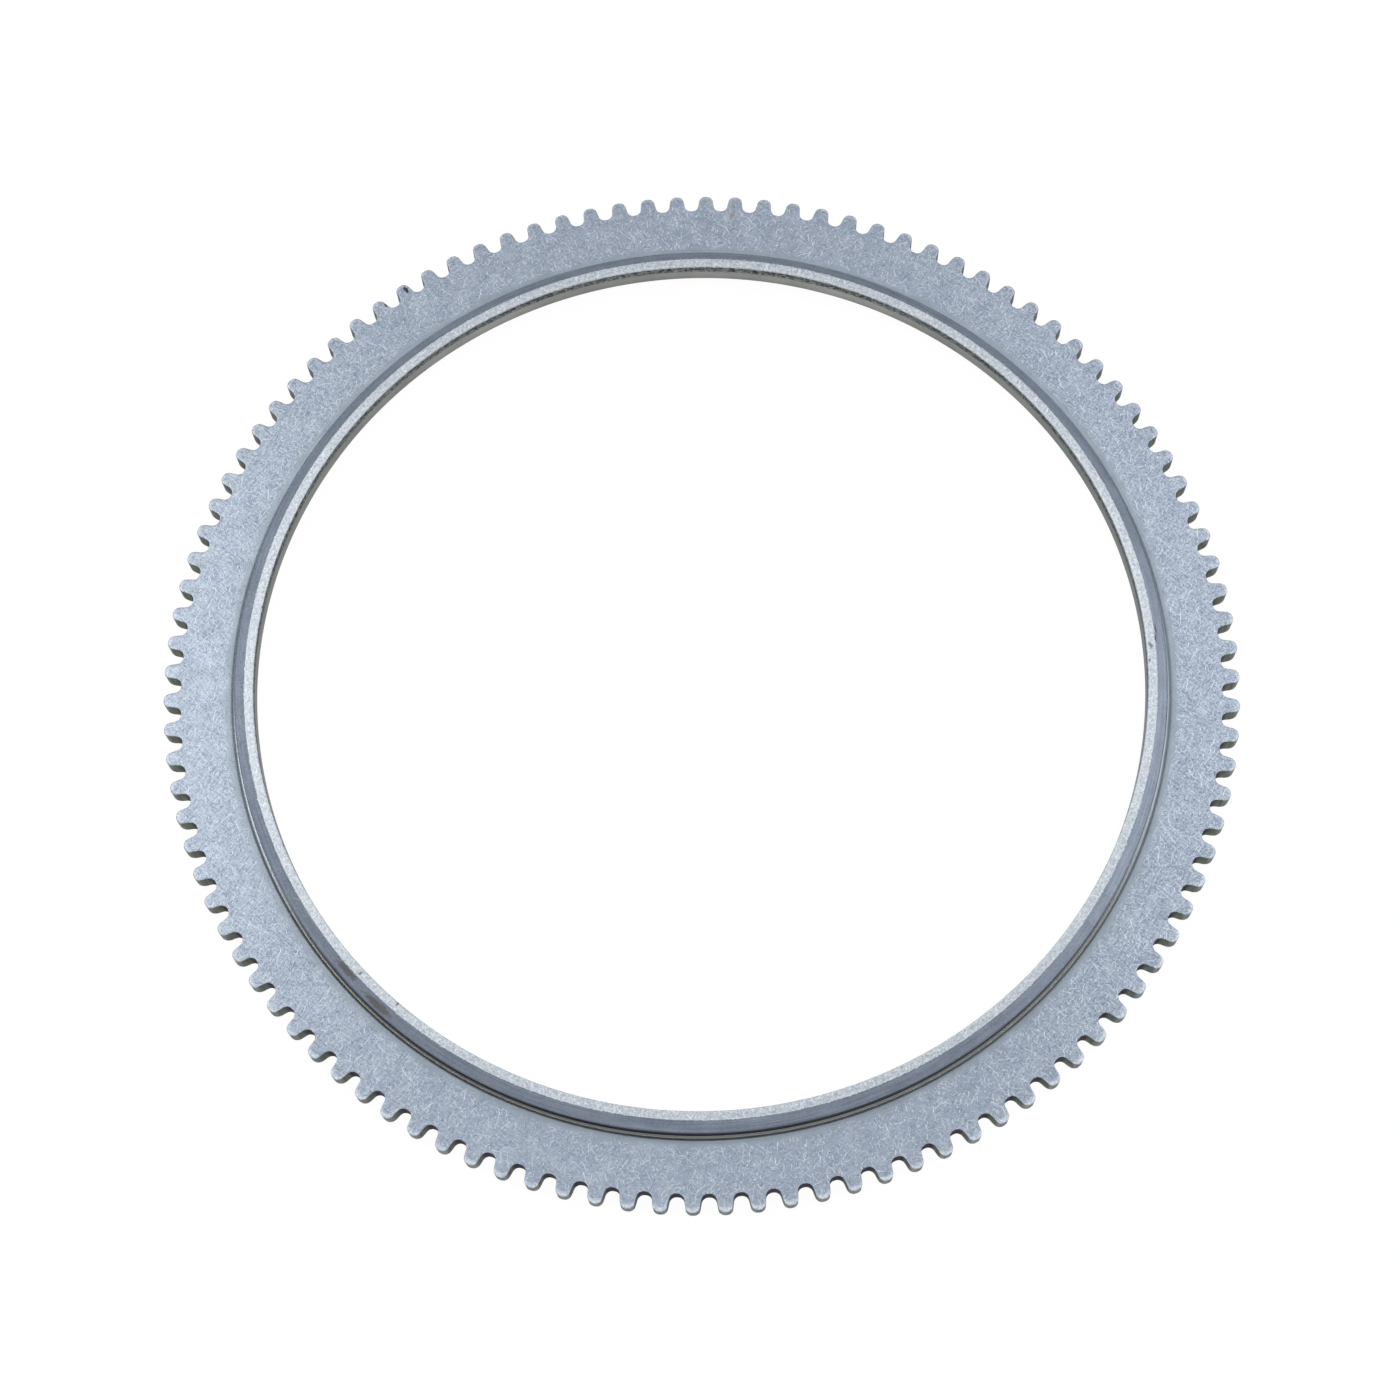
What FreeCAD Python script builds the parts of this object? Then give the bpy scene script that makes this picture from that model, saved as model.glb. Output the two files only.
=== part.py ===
import FreeCAD, Part
import math
import os

# Toothed ring for a wheel speed sensor: one turned steel ring with teeth cut round its rim.
# Millimetres and degrees. The ring lies on its back face at z = 0, its axis is Z through the
# origin, and its lip points up.

# Bore, from which the widths below are measured outwards
bore_radius = 81.4
bore_mouth_round = 0.35

# Toothed disc
ring_width = 13.8
disc_thickness = 4.2

# Teeth, with their width measured half way up
tooth_count = 108
tooth_height = 3.25
tooth_width = 2.77
flank_lean = 8.3
tip_round = 1.18
root_round = 1.2

# Bevels on both sides of the rim, which slope the ends of the teeth, cut as one flat a tooth
rim_bevel_width = 1.35
front_bevel_depth = 0.15
back_bevel_depth = 0.7

# Lip round the bore, on the front face
lip_height = 3.4
lip_wall_height = 2.25
lip_width = 3.7
lip_top_width = 1.6
lip_shoulder_round = 0.5

# Relief groove at the foot of the lip, with a sloped outer side
relief_width = 0.75
relief_depth = 0.3
relief_slope_width = 0.25

# Stepped seat in the back, by which the ring is pressed on its carrier
seat_step = 2.4
seat_depth = 2.8
seat_lead_in = 0.5
seat_corner_round = 0.3

# Each round is cut as a few short flats, because the rim repeats it so many times
root_flats = 3
tip_flats = 3
turned_flats = 2

# A round takes up no more than this share of the room beside it
round_share = 0.9

# Stock outside the tips and past both faces, which the tooth cutting takes away
stock = 1.0

# Sizes that follow from the driving ones
pitch_angle = 360.0 / tooth_count
root_radius = bore_radius + ring_width
middle_radius = root_radius + tooth_height / 2
tip_radius = root_radius + tooth_height
bevel_radius = tip_radius - rim_bevel_width
bevel_run_out = (rim_bevel_width + stock) / rim_bevel_width
overall_height = disc_thickness + lip_height
lip_outer_radius = bore_radius + lip_width
lip_top_radius = bore_radius + lip_top_width
lip_shoulder_height = disc_thickness + lip_wall_height
relief_outer_radius = lip_outer_radius + relief_width
relief_floor = disc_thickness - relief_depth
seat_radius = bore_radius + seat_step
axis = FreeCAD.Vector(0, 0, 1)
origin = FreeCAD.Vector(0, 0, 0)


def round_points(centre, start, end, flats):
    """Points that divide the arc from start to end, about centre, into equal flats."""
    radius = start - centre
    sweep = math.degrees(radius.getAngle(end - centre))
    normal = radius.cross(end - centre)
    points = [start]
    for step in range(1, flats):
        turn = FreeCAD.Rotation(normal, sweep * step / flats)
        points.append(centre + turn.multVec(radius))
    return points + [end]


def rounded_corner(before, corner, after, radius):
    """Points of the round that replaces a corner between two straight sides."""
    to_before = before - corner
    to_after = after - corner
    half_angle = to_before.getAngle(to_after) / 2
    room = min(to_before.Length, to_after.Length) * round_share / 2
    reach = min(radius / math.tan(half_angle), room)
    to_before.normalize()
    to_after.normalize()
    to_centre = (to_before + to_after).normalize() * (reach / math.cos(half_angle))
    start = corner + to_before * reach
    end = corner + to_after * reach
    return round_points(corner + to_centre, start, end, turned_flats)


def turned_ring():
    """The ring as it leaves the lathe, with stock outside the tooth tips."""
    corners = [
        (seat_radius + seat_lead_in, 0, 0),
        (tip_radius + stock, 0, 0),
        (tip_radius + stock, disc_thickness, 0),
        (relief_outer_radius, disc_thickness, 0),
        (relief_outer_radius - relief_slope_width, relief_floor, 0),
        (lip_outer_radius, relief_floor, 0),
        (lip_outer_radius, lip_shoulder_height, lip_shoulder_round),
        (lip_top_radius, overall_height, 0),
        (bore_radius, overall_height, bore_mouth_round),
        (bore_radius, seat_depth, 0),
        (seat_radius, seat_depth, seat_corner_round),
        (seat_radius, seat_lead_in, 0),
    ]
    points = [FreeCAD.Vector(radius, 0, height) for radius, height, rounding in corners]
    outline = []
    for index, (radius, height, rounding) in enumerate(corners):
        if rounding > 0:
            after = points[(index + 1) % len(points)]
            outline += rounded_corner(points[index - 1], points[index], after, rounding)
        else:
            outline.append(points[index])
    section = Part.Face(Part.makePolygon(outline + [outline[0]]))
    return section.revolve(origin, axis, 360)


def flank_points():
    """Points from the middle of a tip to the middle of the next gap, for the tooth along +X."""
    lean = math.radians(flank_lean)
    half_pitch = math.radians(pitch_angle / 2)
    along_flank = FreeCAD.Vector(math.cos(lean), -math.sin(lean), 0)
    off_flank = FreeCAD.Vector(math.sin(lean), math.cos(lean), 0)
    flank_offset = off_flank.dot(FreeCAD.Vector(middle_radius, tooth_width / 2, 0))

    # The largest round at the tip has its centre on the tooth's middle line, and the largest
    # round at the root has its centre on the gap's
    tip_sine = math.sin(lean)
    gap_sine = math.sin(lean + half_pitch)
    tip_room = (flank_offset - tip_radius * tip_sine) / (1 - tip_sine)
    root_room = (root_radius * gap_sine - flank_offset) / (1 - gap_sine)
    tip_corner = min(tip_round, tip_room * round_share)
    root_corner = min(root_round, root_room * round_share)

    def round_centre(offset, distance):
        return off_flank * offset + along_flank * math.sqrt(distance ** 2 - offset ** 2)

    tip_centre = round_centre(flank_offset - tip_corner, tip_radius - tip_corner)
    tip_start = tip_centre * (tip_radius / tip_centre.Length)
    flank_top = tip_centre + off_flank * tip_corner
    root_centre = round_centre(flank_offset + root_corner, root_radius + root_corner)
    flank_foot = root_centre - off_flank * root_corner
    root_end = root_centre * (root_radius / root_centre.Length)
    tip = round_points(tip_centre, tip_start, flank_top, tip_flats)
    root = round_points(root_centre, flank_foot, root_end, root_flats)
    return tip + root


def toothed_blank():
    """A plain block with the outline of all the teeth, taller than the ring."""
    upper_side = flank_points()
    lower_side = [FreeCAD.Vector(point.x, -point.y, 0) for point in reversed(upper_side)]
    outline = []
    for tooth in range(tooth_count):
        turn = FreeCAD.Rotation(axis, tooth * pitch_angle)
        outline += [turn.multVec(point) for point in lower_side + upper_side]
    plate = Part.Face(Part.makePolygon(outline + [outline[0]]))
    plate.translate(axis * -stock)
    return plate.extrude(axis * (overall_height + 2 * stock))


def bevelled_blank():
    """A plain block that is bevelled on both sides of the rim, with one flat for each tooth."""
    levels = [
        (bevel_radius, 0),
        (tip_radius + stock, back_bevel_depth * bevel_run_out),
        (tip_radius + stock, disc_thickness - front_bevel_depth * bevel_run_out),
        (bevel_radius, disc_thickness),
        (bevel_radius, overall_height),
    ]
    rings = []
    for flat_radius, height in levels:
        corner_radius = flat_radius / math.cos(math.radians(pitch_angle / 2))
        corner = FreeCAD.Vector(corner_radius, 0, height)
        turns = [FreeCAD.Rotation(axis, (tooth + 0.5) * pitch_angle) for tooth in range(tooth_count)]
        rings.append([turn.multVec(corner) for turn in turns])
    faces = [Part.Face(Part.makePolygon(ring + [ring[0]])) for ring in (rings[0], rings[-1])]
    for lower, upper in zip(rings, rings[1:]):
        for tooth in range(tooth_count):
            side = [lower[tooth - 1], lower[tooth], upper[tooth], upper[tooth - 1], lower[tooth - 1]]
            faces.append(Part.Face(Part.makePolygon(side)))
    return Part.Solid(Part.Shell(faces))


def tone_ring():
    blank = bevelled_blank().common(toothed_blank())
    return turned_ring().common(blank).Solids[0]


os.makedirs("parts", exist_ok=True)
tone_ring().exportStep("parts/tone_ring.step")
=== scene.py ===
"""Tumbled steel tone ring, seen from above its lip, on a white studio floor."""
from math import cos, pi, radians, sin, sqrt, tan

import bmesh
import bpy
from mathutils import Matrix, Vector


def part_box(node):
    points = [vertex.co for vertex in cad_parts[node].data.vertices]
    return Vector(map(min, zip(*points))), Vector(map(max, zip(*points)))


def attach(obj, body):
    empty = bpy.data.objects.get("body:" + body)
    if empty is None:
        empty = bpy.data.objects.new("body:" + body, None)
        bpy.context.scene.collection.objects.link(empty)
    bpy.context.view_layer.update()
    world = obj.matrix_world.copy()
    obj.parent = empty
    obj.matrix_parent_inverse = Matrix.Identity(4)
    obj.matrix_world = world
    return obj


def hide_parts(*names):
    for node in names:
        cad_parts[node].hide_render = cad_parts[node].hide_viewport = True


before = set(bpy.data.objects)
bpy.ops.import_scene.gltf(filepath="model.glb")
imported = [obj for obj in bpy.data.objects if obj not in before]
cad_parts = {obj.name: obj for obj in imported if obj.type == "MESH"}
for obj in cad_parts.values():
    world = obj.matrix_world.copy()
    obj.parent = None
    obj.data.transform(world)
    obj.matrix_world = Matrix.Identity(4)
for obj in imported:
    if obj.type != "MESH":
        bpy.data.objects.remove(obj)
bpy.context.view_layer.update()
MM = 0.001


# The photographer's camera
# A long lens looks steeply down on the ring from in front of it, rolled a few degrees. Its place
# comes from the ring's ellipse in the photograph.

view_point = Vector((-0.18, -5.078, 4.174)) * MM
view_azimuth = radians(270.929)
view_elevation = radians(70.862)
view_roll = radians(3.757)
view_distance = 530.6 * MM

towards_camera = Vector((cos(view_azimuth) * cos(view_elevation),
                         sin(view_azimuth) * cos(view_elevation), sin(view_elevation)))
level_right = Vector((-sin(view_azimuth), cos(view_azimuth), 0))
level_up = towards_camera.cross(level_right)
camera_right = level_right * cos(view_roll) - level_up * sin(view_roll)
camera_up = level_right * sin(view_roll) + level_up * cos(view_roll)

camera_data = bpy.data.cameras.new("camera")
camera_data.sensor_width = 36
camera_data.lens = 74.75
camera = bpy.data.objects.new("camera", camera_data)
bpy.context.scene.collection.objects.link(camera)
facing = Matrix((camera_right, camera_up, towards_camera)).transposed().to_4x4()
camera.matrix_world = Matrix.Translation(view_point + towards_camera * view_distance) @ facing
bpy.context.scene.camera = camera


# The ring
# One piece of mild steel, turned all over, with a tooth cut at every pitch of its rim, then
# tumbled, which dulls its faces and takes the sharpness off its edges. Sizes are in millimetres.

ring_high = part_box("tone_ring")[1]
tooth_count = 108
tip_radius = ring_high.x / MM
tooth_height = 3.25
root_radius = tip_radius - tooth_height
tooth_width = 2.77
flank_lean = radians(8.3)
tip_round = 1.18
root_round = 1.2
bevel_width = 1.35
bevel_radius = tip_radius - bevel_width
front_bevel_slope = 0.15 / bevel_width
back_bevel_slope = 0.7 / bevel_width
face_height = 4.2
lip_height = ring_high.z / MM
lip_shoulder_height = face_height + 2.25
bore_radius = 81.4
lip_top_radius = 83.0
lip_outer_radius = 85.1
groove_radius = 85.85
groove_floor = face_height - 0.3
seat_radius = 83.8
seat_height = 2.8
seat_lead_in = 0.5

# Where the turned part of the slice ends on both faces, and where its toothed part begins
turned_end = 92.6
toothed_start = 93.6

# How far the tumbling rounded the edges of a tooth's tip and of the root beside it
front_wear = (0.06, 0.15)
back_wear = (0.2, 0.2)

# The turned section from the face inwards, over the lip, down the bore and out along the back:
# radius, height, and how far its corner is rounded
turned_section = [
    (turned_end, face_height, 0), (groove_radius + 0.15, face_height, 0.5),
    (groove_radius - 0.3, groove_floor, 0.3), (lip_outer_radius, groove_floor, 0.06),
    (lip_outer_radius, lip_shoulder_height, 0.5), (lip_top_radius, lip_height, 0.2),
    (bore_radius, lip_height, 0.35), (bore_radius, seat_height, 0.06),
    (seat_radius, seat_height, 0.3), (seat_radius, seat_lead_in, 0.15),
    (seat_radius + seat_lead_in, 0, 0.15), (turned_end, 0, 0),
]


def arc_points(centre, start, end, steps):
    """Points and outward directions from start to end round a centre."""
    first, last = start - centre, end - centre
    sweep = first.angle_signed(last)
    found = []
    for step in range(steps + 1):
        spoke = first.copy()
        spoke.rotate(Matrix.Rotation(-sweep * step / steps, 2))
        found.append((centre + spoke, spoke.normalized()))
    return found


def tooth_outline():
    """One pitch of the rim, from gap to gap: points, with the way out of the steel at each."""
    half_pitch = pi / tooth_count
    middle_radius = root_radius + tooth_height / 2
    down_flank = Vector((cos(flank_lean), -sin(flank_lean)))
    off_flank = Vector((sin(flank_lean), cos(flank_lean)))
    offset = off_flank.dot(Vector((middle_radius, tooth_width / 2)))

    def centre_of(round_offset, distance):
        return off_flank * round_offset + down_flank * sqrt(distance ** 2 - round_offset ** 2)

    tip = centre_of(offset - tip_round, tip_radius - tip_round)
    root = centre_of(offset + root_round, root_radius + root_round)
    tip_end = tip + off_flank * tip_round
    root_start = root - off_flank * root_round
    middle = [(Vector((tip_radius, 0)), Vector((1, 0)))]
    shoulder = arc_points(tip, tip * (tip_radius / tip.length), tip_end, 6)
    flank = [(tip_end.lerp(root_start, 0.27), off_flank)]
    hollow = arc_points(root, root_start, root * (root_radius / root.length), 5)
    hollow = [(point, -outward) for point, outward in hollow]
    gap_way = Vector((cos(half_pitch), sin(half_pitch)))
    half = middle + shoulder + flank + hollow + [(gap_way * root_radius, gap_way)]
    mirror = [(Vector((p.x, -p.y)), Vector((n.x, -n.y))) for p, n in reversed(half[1:])]
    return mirror + half


def rounded_section(corners):
    """Rows of the turned section, with its corners rounded: radius and height, and edge wear.

    Beside each corner a row keeps the flat next to it flat. Low down it is left out of short
    runs, and corners there have fewer rows.
    """
    front_from = 3
    path = []
    for index, (radius, height, rounding) in enumerate(corners):
        here = Vector((radius, height))
        if rounding == 0:
            path.append((here, 0.0))
            continue
        before = Vector(corners[index - 1][:2]) - here
        after = Vector(corners[index + 1][:2]) - here
        half_angle = before.angle(after) / 2
        reach = rounding / tan(half_angle)
        centre = here + (before.normalized() + after.normalized()).normalized() \
            * (rounding / sin(half_angle))
        steps = 1 if rounding < 0.2 or height < front_from else 3 if rounding < 0.5 else 4
        arc = arc_points(centre, here + before.normalized() * reach,
                         here + after.normalized() * reach, steps)
        outside = before.x * after.y < before.y * after.x
        for step, (point, outward) in enumerate(arc):
            wear = 1.2 if height == lip_height else 0.25 if outside else 0
            path.append((point, wear * sin(pi * (step + 0.5) / (steps + 1))))
    rows = []
    for (here, wear), (there, next_wear) in zip(path, path[1:]):
        rows.append((here, wear))
        run = (there - here).length
        shortest, margin = (0.25, 0.07) if here.y > front_from else (2, 0.2)
        if run > shortest:
            for share in (margin / run, 1 - margin / run):
                rows.append((here.lerp(there, share), 0.0))
    return rows + [path[-1]]


def pitch_slice():
    """One pitch of the whole ring, centred on a tooth, with its edges marked for wear."""
    mesh = bmesh.new()
    edge_mark = mesh.verts.layers.float.new("edge")
    cut_mark = mesh.verts.layers.float.new("cut")
    outline = tooth_outline()
    rim_columns = len(outline) - 1
    inner_columns = rim_columns // 3

    def vertex(x, y, z, edge=0.0, cut=0.0):
        made = mesh.verts.new((x * MM, y * MM, z * MM))
        made[edge_mark] = edge
        made[cut_mark] = cut
        return made

    def circle(radius, height, columns, edge=0.0):
        half_pitch = pi / tooth_count
        angles = [half_pitch * (2 * column / columns - 1) for column in range(columns + 1)]
        return [vertex(radius * cos(a), radius * sin(a), height, edge) for a in angles]

    def surface(radius, back):
        """Height of the front or back at this radius, where the bevel slopes the tooth's end."""
        beyond = max(0, radius - bevel_radius)
        return back_bevel_slope * beyond if back else face_height - front_bevel_slope * beyond

    def rim_row(inset, drop, edge, cut, back, within=0, below=0):
        """The outline moved into the steel, and down from the front or up from the back."""
        root_wear, tip_wear = back_wear if back else front_wear
        row = []
        for point, outward in outline:
            share = min(1, max(0, (point.length - root_radius) / tooth_height))
            wear = root_wear + (tip_wear - root_wear) * share
            place = point - outward * (inset * wear + within)
            sunk = drop * wear + below
            level = surface(place.length, back)
            row.append(vertex(place.x, place.y, level + sunk if back else level - sunk,
                              edge * share ** 2, cut))
        return row

    def rim_rows(back):
        """Rows from the plain face outwards and over the rounded edge.

        The back has fewer, and its edge shines less.
        """
        support, crescent, fade = 1.05, 0.65, 0.3
        middle = rim_row(1, 0, 0.0, 0.0, back, support)
        inside = []
        for outer in middle:
            place = outer.co.xy.normalized() * toothed_start
            inside.append(vertex(place.x, place.y, surface(0, back)))
        rows = [inside, middle]
        if not back:
            rows += [rim_row(1, 0, 0.0, 0.0, back, crescent),
                     rim_row(1, 0, 0.6, 0.0, back, fade)]
        for angle, edge, cut in ((0, 1.0, 0.0), (45, 0.9, 0.5), (90, 0.2, 1.0)):
            bend = radians(angle)
            shine = edge * 0.2 if back else edge
            if angle != 45 or not back:
                rows.append(rim_row(1 - sin(bend), 1 - cos(bend), shine, cut, back))
        return rows + [rim_row(0, 1, 0.0, 1.0, back, below=0.2)]

    def bridge(upper, lower):
        for column in range(len(upper) - 1):
            mesh.faces.new((upper[column], upper[column + 1], lower[column + 1], lower[column]))

    rim = rim_rows(False) + rim_rows(True)[::-1]
    inner = [circle(point.x, point.y, inner_columns, wear)
             for point, wear in rounded_section(turned_section)]
    for rows in (rim, inner):
        for upper, lower in zip(rows, rows[1:]):
            bridge(upper, lower)
    for outer, turned in ((rim[0], inner[0]), (rim[-1], inner[-1])):
        for column in range(inner_columns):
            mesh.faces.new([turned[column], turned[column + 1]]
                           + outer[3 * column:3 * column + 4][::-1])
    bmesh.ops.recalc_face_normals(mesh, faces=mesh.faces)
    made = bpy.data.meshes.new("pitch_slice")
    mesh.to_mesh(made)
    mesh.free()
    return made


class Wire:
    """A socket of a node tree. Sums written on it add the nodes that work them out."""

    def __init__(self, tree, socket=None):
        self.tree = tree
        self.socket = socket

    def node(self, kind, settings=None, values=None, output=0):
        """Adds a node: its settings are made first, then its sockets get values or links."""
        made = self.tree.nodes.new(kind)
        for name, setting in (settings or {}).items():
            setattr(made, name, setting)
        for name, value in (values or {}).items():
            if isinstance(value, Wire):
                self.tree.links.new(value.socket, made.inputs[name])
            else:
                made.inputs[name].default_value = value
        return Wire(self.tree, made.outputs[output])

    def math(self, operation, *values):
        return self.node("ShaderNodeMath", {"operation": operation}, dict(enumerate(values)))

    def vector(self, operation, *values):
        return self.node("ShaderNodeVectorMath", {"operation": operation},
                         dict(enumerate(values)))

    def other(self, output):
        """Another output of the same node."""
        return Wire(self.tree, self.socket.node.outputs[output])

    def parts(self):
        split = self.node("ShaderNodeSeparateXYZ", values={0: self})
        return split, split.other(1), split.other(2)

    def rise(self, low, high):
        """0 at low and 1 at high, smooth between them."""
        return self.node("ShaderNodeMapRange", {"interpolation_type": "SMOOTHSTEP"},
                         {"Value": self, "From Min": low, "From Max": high})

    def mix(self, here, there):
        """Goes from one colour to the other as this socket goes from 0 to 1."""
        return self.node("ShaderNodeMix", {"data_type": "RGBA"}, {0: self, 6: here, 7: there}, 2)

    def __add__(self, other):
        return self.math("ADD", self, other)

    def __sub__(self, other):
        return self.math("SUBTRACT", self, other)

    def __rsub__(self, other):
        return self.math("SUBTRACT", other, self)

    def __mul__(self, other):
        return self.math("MULTIPLY", self, other)

    __radd__ = __add__
    __rmul__ = __mul__


def colour(red, green, blue):
    """A colour as it is seen, 0 to 255, made linear for the shader."""
    seen = [part / 255 for part in (red, green, blue)]
    return tuple(s / 12.92 if s < 0.04045 else ((s + 0.055) / 1.055) ** 2.4 for s in seen) + (1,)


def grain(place, size, detail=2.0, roughness=0.5, squeeze=(1, 1, 1)):
    """Cloudy noise with lumps about size millimetres across, finer where squeezed."""
    spread = place.vector("MULTIPLY", place, tuple(s / size for s in squeeze))
    return place.node("ShaderNodeTexNoise", values={
        "Vector": spread, "Scale": 1.0, "Detail": detail, "Roughness": roughness})


def scratches(place, cell, length, width, share, shift):
    """Short bent scratches that point every way, at most one in each cell."""
    moved = place.vector("MULTIPLY_ADD", place, (1 / cell,) * 3, (shift, shift, 0))
    middle = place.node("ShaderNodeTexVoronoi", {"voronoi_dimensions": "2D"},
                        {"Vector": moved, "Scale": 1.0}, "Position")
    chance, bend, strength = middle.other("Color").parts()
    x, y, z = place.vector("SUBTRACT", moved, middle).parts()
    heading = chance * (2 * pi)
    along = x * heading.math("COSINE", heading) + y * heading.math("SINE", heading)
    across = y * heading.math("COSINE", heading) - x * heading.math("SINE", heading)
    across = across + (bend - 0.5) * along * along * (0.9 * cell / length)
    reach = along.math("ABSOLUTE", along).rise(length / cell / 2, 0.2 * length / cell)
    body = across.math("ABSOLUTE", across).rise(width / cell / 2, 0)
    return reach * body * strength.rise(1 - share, 1.15)


def blot(place, ragged, x, y, length, width, heading):
    """A stain or dent at x, y with a ragged edge: 1 in its middle and 0 outside."""
    moved = place.vector("SUBTRACT", place, (x, y, 0))
    turn = radians(heading)
    along = moved.vector("DOT_PRODUCT", moved, (2 * cos(turn) / length, 2 * sin(turn) / length, 0))
    across = moved.vector("DOT_PRODUCT", moved, (-2 * sin(turn) / width, 2 * cos(turn) / width, 0))
    along, across = along.other("Value"), across.other("Value")
    return (along * along + across * across + ragged).rise(1.3, 0.3)


steel = bpy.data.materials.new("tumbled_steel_finish")
steel.use_nodes = True
shader = steel.node_tree.nodes["Principled BSDF"]
shader.inputs["Metallic"].default_value = 1.0
shader.inputs["Specular Tint"].default_value = (0.45, 0.46, 0.48, 1)
shader.inputs["Anisotropic"].default_value = 0.5
shader.inputs["Anisotropic Rotation"].default_value = 0.25

start = Wire(steel.node_tree)
place = start.node("ShaderNodeTexCoord", output="Object")
place = place.node("ShaderNodeVectorMath", {"operation": "SCALE"}, {0: place, "Scale": 1 / MM})
x, y, height = place.parts()
radius = place.math("SQRT", x * x + y * y)
edge = start.node("ShaderNodeAttribute", {"attribute_name": "edge"}, output="Fac")
cut = start.node("ShaderNodeAttribute", {"attribute_name": "cut"}, output="Fac")

cloud = grain(place, 4.0, 3.0)
speck = grain(place, 0.42, 3.0, 0.65)
chips = grain(place, 0.7, 2.0, 0.7)
fine = grain(place, 0.22, 2.0, 0.6)
lines = grain(radius.node("ShaderNodeCombineXYZ", values={0: radius * 6, 1: x * 0.05, 2: y * 0.05}),
              1.0, 2.0, 0.6)
bent = place.node("ShaderNodeVectorMath", {"operation": "MULTIPLY_ADD"}, {
    0: grain(place, 1.3, 1.0).other("Color"), 1: (0.5, 0.5, 0), 2: place})
flecks = (scratches(bent, 0.6, 0.65, 0.13, 0.7, 3.3) + scratches(bent, 0.9, 1.1, 0.13, 0.6, 7.9)
          + scratches(bent, 1.4, 1.8, 0.13, 0.6, 5.2) + scratches(bent, 2.4, 2.8, 0.16, 0.5, 1.7))
gouges = scratches(bent, 1.1, 1.2, 0.15, 0.6, 9.4)


def hatching(place, heading):
    """Fine crossed strokes that the stones left, all one way."""
    turned = place.node("ShaderNodeVectorRotate", {"rotation_type": "Z_AXIS"},
                        {"Vector": place, "Angle": radians(heading)})
    return grain(turned, 0.3, 2.0, 0.55, (1, 0.13, 1)) - 0.5


hatch = hatching(bent, 38) + hatching(bent, -47)

# Tumbled face: a dull blue-grey with faint clouds and many short strokes. Painted glints make the
# strokes stronger at the sides, painted light makes the far left a little lighter, and a painted
# highlight brightens the bevelled ends of the near teeth
side_glint_share = x.math("ABSOLUTE", x).rise(30, 95)
near = (y * -1).rise(30, 85)
marks = (speck - 0.5) * 0.55 + hatch * 0.3 + flecks * 0.8 - gouges * 0.55
tone = 0.41 + (cloud - 0.5) * 0.25 + marks * (side_glint_share * 0.8 + 1) + x.rise(-70, -95) * 0.04
dull = (tone + radius.rise(97.2, 97.8) * near * 0.2).rise(0, 1).mix(
    colour(121, 134, 155), colour(213, 223, 236))

# Turned surfaces that the stones did not reach: smooth, with fine rings. On the near side the lip's
# wall and the foot of the groove get painted shade, darkest low on the wall and towards the left
ring_tone = (lines - 0.5) * 1.2 + (cloud - 0.5) * 0.5 + 0.5
margin = ring_tone.rise(0, 1).mix(colour(145, 157, 169), colour(171, 183, 195))
near_side_shade = (y * -1).rise(20, 50)
groove_foot_shade = x.rise(-80, 10).mix(colour(96, 100, 100), colour(150, 154, 154))
groove_side = ring_tone.rise(0, 1).mix(colour(236, 240, 241), colour(250, 252, 252))
groove = near_side_shade.mix(ring_tone.rise(0, 1).mix(colour(184, 192, 200), colour(206, 213, 220)),
                  radius.rise(85.35, 85.55).mix(groove_foot_shade, groove_side))
# Painted shade on the near side of the lip's wall: near black low down and to the left
wall_shade_tone = (height.rise(4.2, 6.3) * 0.75 + x.rise(-40, 75)
             + (ring_tone - 0.5) * 0.3).rise(0, 1.5)
wall = near_side_shade.mix(ring_tone.rise(0, 1).mix(colour(140, 147, 156), colour(164, 171, 180)),
                wall_shade_tone.mix(colour(14, 15, 15), colour(122, 127, 128)))
bevel = (ring_tone + (speck - 0.5) * 0.8).rise(0, 1).mix(
    colour(120, 130, 146), colour(160, 170, 186))
bore = ring_tone.rise(0, 1).mix(colour(132, 134, 131), colour(160, 162, 158))
# Pale rubbed steel for the edges: real wear, which a painted highlight makes stronger on the near
# side
worn_and_sheen = speck.rise(0.3, 0.7).mix(colour(186, 198, 214), colour(236, 242, 247))

# Cut sides of the teeth: darker in the roots, from dark oxide and from painted shade between the
# teeth, and paler on the tips that the stones hit
cut_tone = (0.5 + (grain(place, 0.5, 2.0, 0.6, (1, 1, 0.12)) - 0.5) * 1.6).rise(0, 1)
cut_steel = radius.rise(95.4, 96.4).mix(cut_tone.mix(colour(54, 47, 52), colour(80, 72, 78)),
                                        cut_tone.mix(colour(98, 104, 94), colour(132, 138, 128)))
cut_steel = radius.rise(97.2, 98.2).mix(
    cut_steel, cut_tone.mix(colour(122, 124, 124), colour(164, 166, 166)))

# Each finish is laid over the one before it, from the face inwards to the bore, inside radii and
# heights in millimetres
front = height.rise(face_height - 0.6, face_height - 0.35)
turned_edge = radius + (cloud - 0.5) * 1.6 + (speck - 0.5) * 0.8
finish = (front * turned_edge.rise(87.5, 86.5)).mix(dull, margin)
finish = (front * radius.rise(86.0, 85.5)).mix(finish, groove)
beside_lip = radius.rise(85.35, 85.2)
finish = (height.rise(face_height - 0.28, face_height - 0.2) * beside_lip).mix(finish, wall)
finish = (height.rise(6.0, 6.2) * beside_lip).mix(finish, bevel)
lip_edge = radius + (chips - 0.5) * 0.9 - flecks * 0.2
lip_tone = 0.43 + (chips - 0.5) * 0.7 + (speck - 0.5) * 0.8 + flecks * 0.6
lip_top = lip_tone.rise(0, 1).mix(colour(150, 162, 176), colour(240, 245, 250))
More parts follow.
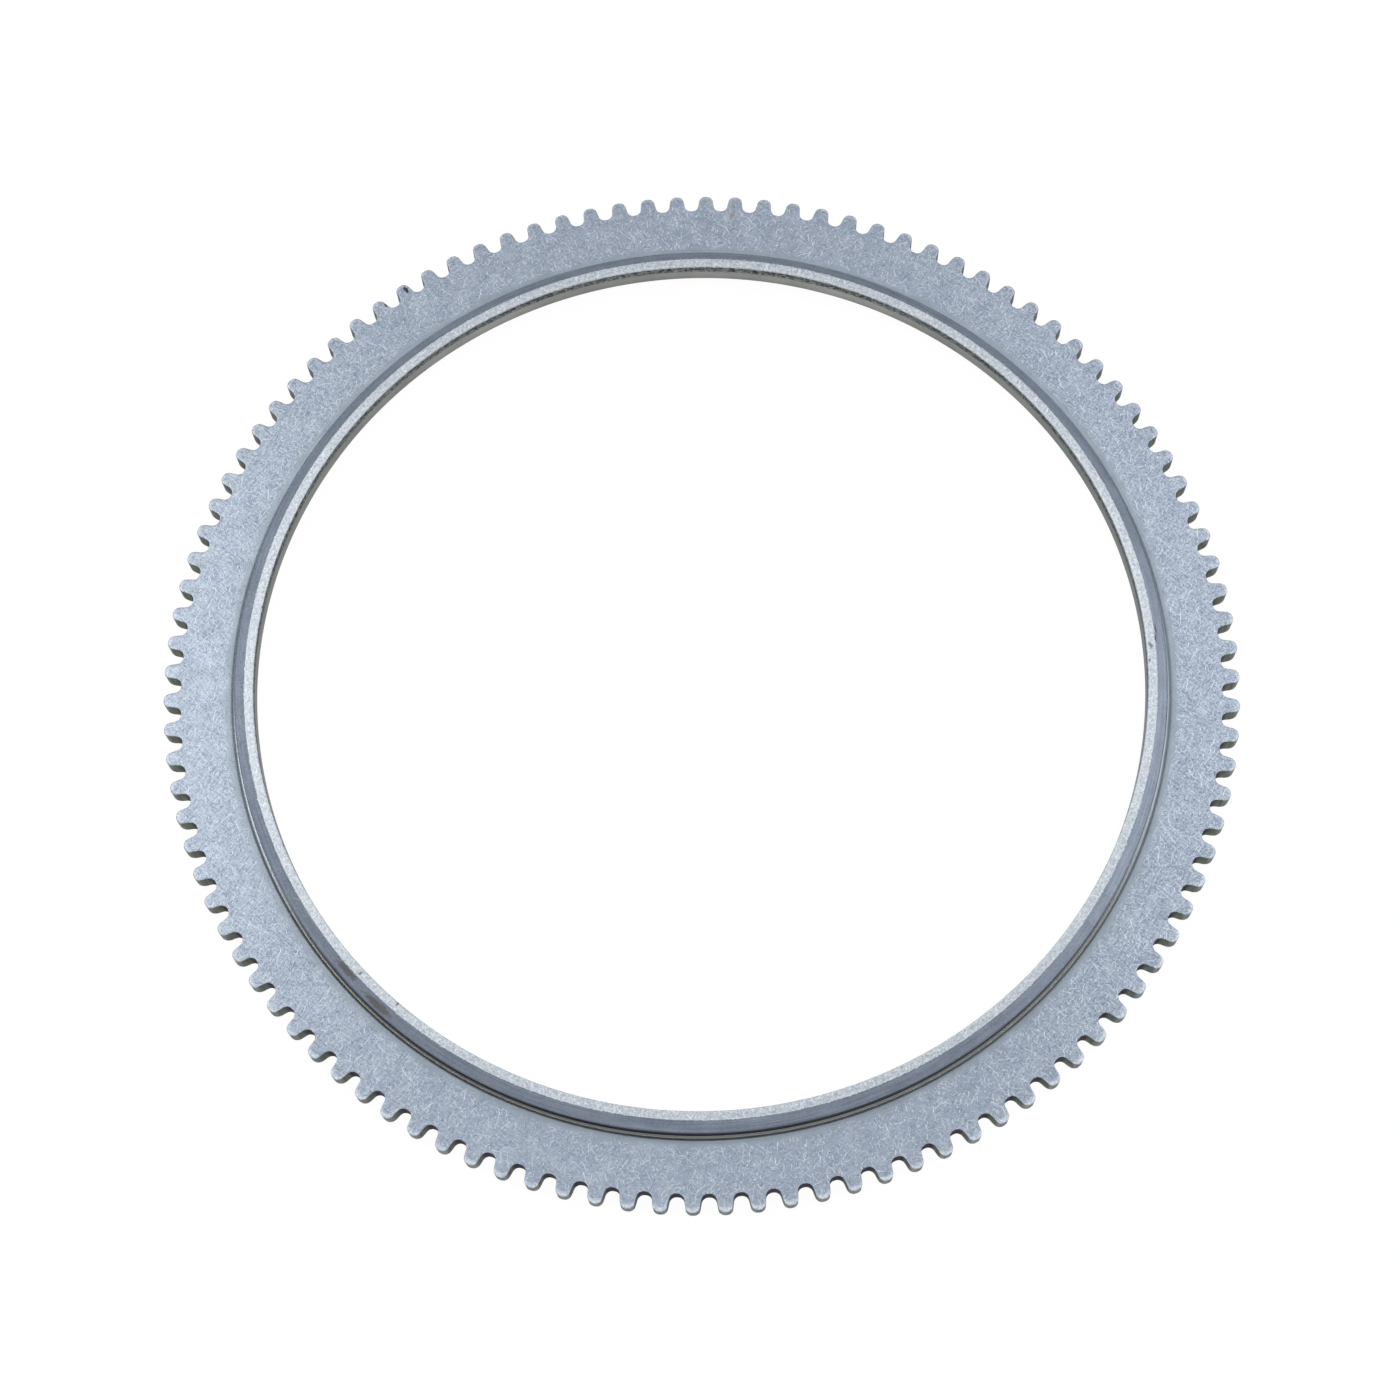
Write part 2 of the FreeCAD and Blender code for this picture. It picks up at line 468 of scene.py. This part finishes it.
finish = (height.rise(7.1, 7.3) * lip_edge.rise(83.1, 83.0)).mix(finish, lip_top)
in_bore = radius.rise(81.62, 81.5) * height.rise(7.4, 7.25)
finish = in_bore.mix(finish, bore)
in_seat = radius.rise(84.3, 84.1) * height.rise(3.0, 2.85)
finish = in_seat.mix(finish, bore)
bore_edge = height + (chips - 0.5) * 2.0
bore_mouth = (speck * 0.4 + chips * 0.6).rise(0.38, 0.64).mix(
    colour(54, 58, 57), colour(142, 148, 146))
finish = (in_bore * bore_edge.rise(5.4, 5.6)).mix(finish, bore_mouth)
finish = cut.mix(finish, cut_steel)
# Edges take the pale rubbed colour, at full strength only on the near side, where it is partly a
# painted highlight
finish = ((edge * (0.4 + speck)).rise(0.15, 0.75) * (near * 0.5 + 0.5)).mix(finish, worn_and_sheen)

# Rust, stains and chips on the front and the lip: middle, length, width and heading of each
on_front = height.rise(3.7, 3.9)
ragged = (speck - 0.5) * 2.2
for shade, spots in (
        (colour(158, 152, 128), ((10.99, 95.62, 0.8, 0.5, 80), (10.5, 93.69, 1.3, 0.9, 80))),
        (colour(28, 28, 30), ((-52.85, 81.33, 1.6, 0.9, 125), (-56.73, 78.34, 1.1, 0.6, 125))),
        (colour(112, 110, 108), ((-64.64, -53.2, 5.5, 1.2, 130), (-59.34, -59.67, 7.0, 1.3, 135))),
        (colour(104, 76, 66), ((83.4, 3.0, 2.4, 0.35, 92), (83.2, 1.3, 1.8, 0.35, 94))),
        (colour(122, 118, 112), ((82.2, 0.0, 1.3, 0.7, 120), (81.68, -3.03, 0.8, 0.5, 90),
                              (-62.19, -53.94, 0.9, 0.5, 40), (-55.73, -59.77, 0.9, 0.5, 45)))):
    for spot in spots:
        finish = (on_front * blot(place, ragged, *spot) * 0.85).mix(finish, shade)

steel.node_tree.links.new(finish.socket, shader.inputs["Base Color"])
in_groove = front * radius.rise(86.0, 85.75) * height.rise(6.2, 6.0)
on_wall = height.rise(4.0, 4.15) * height.rise(6.2, 6.0) * beside_lip
on_bevel = height.rise(6.0, 6.2) * beside_lip * radius.rise(83.0, 83.15)
smoothness = (0.5 - flecks * 0.1 + (speck - 0.5) * 0.2 - in_groove * 0.1 - on_wall * 0.17
              - on_bevel * 0.08)
steel.node_tree.links.new(smoothness.socket, shader.inputs["Roughness"])
relief = speck * 0.6 + fine * 0.3 + flecks * 0.5
relief_depth = 0.06 * MM
bump = start.node("ShaderNodeBump", values={"Strength": 0.85, "Distance": relief_depth,
                                            "Height": relief})
steel.node_tree.links.new(bump.socket, shader.inputs["Normal"])

# The slice is repeated round the axis, joined, and nicked along its edges
tree = bpy.data.node_groups.new("teeth_round_the_ring", "GeometryNodeTree")
sockets = {}
for name, kind in (("Slice", "Geometry"), ("Tooth count", "Int"), ("Nick size", "Float"),
                   ("Nick depth", "Float"), ("Seed", "Float")):
    sockets[name] = tree.interface.new_socket(name, in_out="INPUT",
                                              socket_type="NodeSocket" + kind)
tree.interface.new_socket("Ring", in_out="OUTPUT", socket_type="NodeSocketGeometry")
given = Wire(tree).node("NodeGroupInput")
count = given.other("Tooth count")
spots = given.node("GeometryNodePoints", values={"Count": count, "Position": (0, 0, 0)})
index = given.node("GeometryNodeInputIndex")
angle = index.math("DIVIDE", index, count) * (2 * pi)
turned = given.node("GeometryNodeInstanceOnPoints", values={
    "Points": spots, "Instance": given,
    "Rotation": given.node("ShaderNodeCombineXYZ", values={"Z": angle})})
joined = given.node("GeometryNodeMergeByDistance", values={
    "Geometry": given.node("GeometryNodeRealizeInstances", values={0: turned}),
    "Distance": 0.004 * MM})
position = given.node("GeometryNodeInputPosition")
nick_place = position.node("ShaderNodeVectorMath", {"operation": "DIVIDE"},
                           {0: position, 1: given.other("Nick size")})
nick_noise = given.node("ShaderNodeTexNoise", {"noise_dimensions": "4D"}, {
    "Vector": nick_place, "W": given.other("Seed"), "Scale": 1.0, "Detail": 2.0})
edge_field = given.node("GeometryNodeInputNamedAttribute", {"data_type": "FLOAT"},
                        {"Name": "edge"})
depth = nick_noise.rise(0.55, 0.75) * edge_field * edge_field * given.other("Nick depth") * -1
normal = given.node("GeometryNodeInputNormal")
nicked = given.node("GeometryNodeSetPosition", values={
    "Geometry": joined, "Offset": normal.node("ShaderNodeVectorMath", {"operation": "SCALE"},
                                              {0: normal, "Scale": depth})})
smooth = given.node("GeometryNodeSetShadeSmooth", values={0: nicked})
painted = given.node("GeometryNodeSetMaterial", values={"Geometry": smooth, "Material": steel})
out = tree.nodes.new("NodeGroupOutput")
tree.links.new(painted.socket, out.inputs[0])

ring = bpy.data.objects.new("tone_ring_tumbled", pitch_slice())
bpy.context.scene.collection.objects.link(ring)
teeth = ring.modifiers.new("teeth", "NODES")
teeth.node_group = tree
for name, value in (("Tooth count", tooth_count), ("Nick size", 0.9 * MM),
                    ("Nick depth", 0.12 * MM), ("Seed", 4.0)):
    teeth[sockets[name].identifier] = value
bpy.context.view_layer.update()
seen = ring.evaluated_get(bpy.context.evaluated_depsgraph_get())
finished = bpy.data.meshes.new_from_object(seen)
ring.modifiers.clear()
ring.data = finished

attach(ring, "root")
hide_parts("tone_ring")


# The studio
# A white floor under a soft sky, with five softboxes round the ring. The floor shows white to
# the camera and in the steel, and keeps the ring's shadow.

floor_mesh = bpy.data.meshes.new("floor")
reach = 12.0
floor_mesh.from_pydata([(-reach, -reach, 0), (reach, -reach, 0), (reach, reach, 0),
                        (-reach, reach, 0)], [], [(0, 1, 2, 3)])
floor = bpy.data.objects.new("floor", floor_mesh)
bpy.context.scene.collection.objects.link(floor)
paper = bpy.data.materials.new("white_floor")
paper.use_nodes = True
matte = paper.node_tree.nodes["Principled BSDF"]
matte.inputs["Base Color"].default_value = (0.9, 0.9, 0.9, 1)
matte.inputs["Roughness"].default_value = 0.9
matte.inputs["Specular IOR Level"].default_value = 0.1
rays = Wire(paper.node_tree).node("ShaderNodeLightPath", output="Is Camera Ray")
shown = rays.math("MAXIMUM", rays, rays.other("Is Glossy Ray"))
shown = shown.math("MAXIMUM", shown, rays.other("Is Transmission Ray")) * 0.93
white = rays.node("ShaderNodeEmission", values={"Color": (1, 1, 1, 1), "Strength": 1.03})
lit = rays.node("ShaderNodeMixShader", values={0: shown, 1: Wire(paper.node_tree, matte.outputs[0]),
                                               2: white})
paper.node_tree.links.new(lit.socket, paper.node_tree.nodes["Material Output"].inputs[0])
floor_mesh.materials.append(paper)

world = bpy.data.worlds.new("studio")
bpy.context.scene.world = world
world.use_nodes = True
sky = world.node_tree.nodes["Background"]
way = Wire(world.node_tree).node("ShaderNodeTexCoord", output="Generated")
up = way.parts()[2]
glow = up.rise(-0.1, 1.0) * 0.24 + 0.46
world.node_tree.links.new(glow.socket, sky.inputs["Strength"])
sky.inputs["Color"].default_value = (1, 1, 1, 1)


def softbox(name, azimuth, elevation, distance, width, tall, power, tint=(1, 1, 1)):
    """A lamp that looks at the ring's middle from that side."""
    lamp = bpy.data.lights.new(name, "AREA")
    lamp.color = tint
    lamp.shape = "RECTANGLE"
    lamp.size = width
    lamp.size_y = tall
    lamp.energy = power
    made = bpy.data.objects.new(name, lamp)
    bpy.context.scene.collection.objects.link(made)
    a, e = radians(azimuth), radians(elevation)
    away = Vector((cos(a) * cos(e), sin(a) * cos(e), sin(e)))
    facing = away.to_track_quat("Z", "Y").to_matrix().to_4x4()
    made.matrix_world = Matrix.Translation(away * distance) @ facing


# Name, azimuth, elevation, distance, width, height, power and tint
softbox("left_softbox", 148, 56, 0.8, 0.4, 0.4, 1.2, (1, 0.975, 0.93))
softbox("low_left_softbox", 157, 30, 0.9, 0.4, 0.3, 0.15)
softbox("right_softbox", 4, 36, 0.9, 0.8, 0.4, 1.25, (1, 0.98, 0.95))
softbox("back_softbox", 42, 55, 0.8, 0.4, 0.4, 0.52)
softbox("front_softbox", -100, 75, 0.9, 0.5, 0.5, 0.46)

bpy.context.scene.view_settings.view_transform = "Standard"
